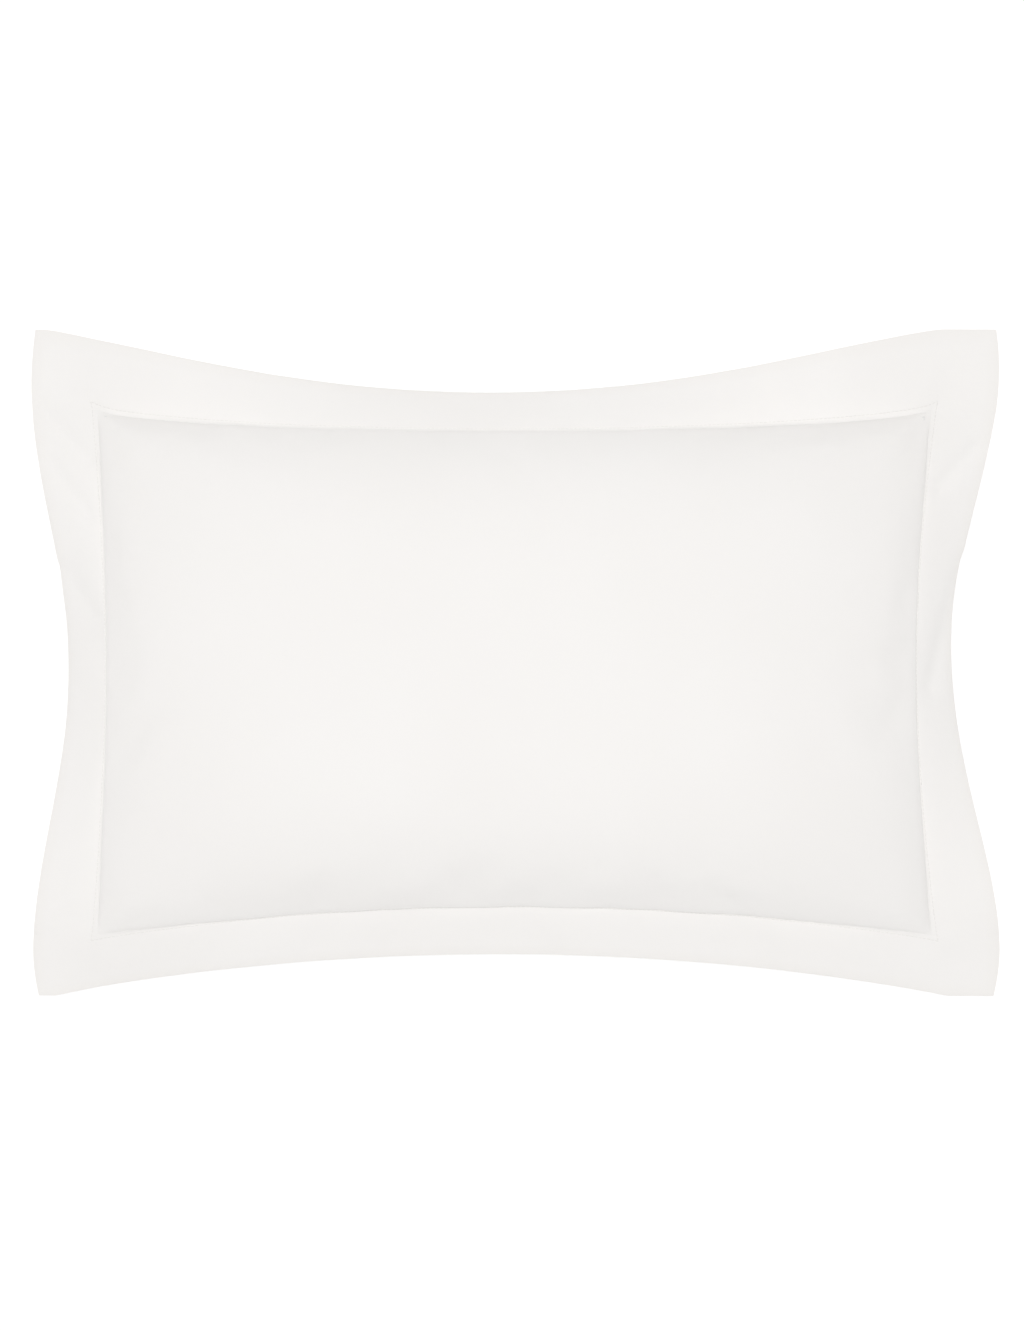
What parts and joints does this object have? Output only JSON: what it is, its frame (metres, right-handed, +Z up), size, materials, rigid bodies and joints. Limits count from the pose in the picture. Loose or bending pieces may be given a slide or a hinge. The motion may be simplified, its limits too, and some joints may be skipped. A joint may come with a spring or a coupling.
{
  "type": "bed pillow",
  "caption": "Rectangular bed pillow: a soft fibre-filled insert in a plain white cotton pillowcase with a flat flange all round.",
  "frame": {"origin": "centre of the footprint, on the surface that the pillow lies on, back face down", "axes": "+X along the long side, towards the short side that has the mouth of the case on its back; +Y across; +Z up out of the front face"},
  "size_m": [0.8368, 0.5748, 0.17],
  "materials": {
    "case_cotton": "smooth matte percale",
    "sewing_thread": "soft sheen",
    "insert_ticking": "matte plain weave",
    "label_tape": "satin ribbon",
    "polyester_fibre": "fluffy matte"
  },
  "bodies": {
    "root": {"case_front_panel": "case_cotton", "case_back_panel": "case_cotton", "case_closure_flap": "case_cotton", "flange_topstitch_front": "sewing_thread", "flange_topstitch_back": "sewing_thread", "outer_edge_seam_thread": "sewing_thread", "back_hem_stitch": "sewing_thread", "flap_hem_stitch": "sewing_thread", "mouth_tack_lower": "sewing_thread", "mouth_tack_upper": "sewing_thread", "care_label": "label_tape", "ticking_upper_panel": "insert_ticking", "ticking_lower_panel": "insert_ticking", "insert_seam_thread": "sewing_thread", "insert_piping": "insert_ticking", "insert_label": "label_tape", "fibre_filling": "polyester_fibre"}
  },
  "joints": []
}
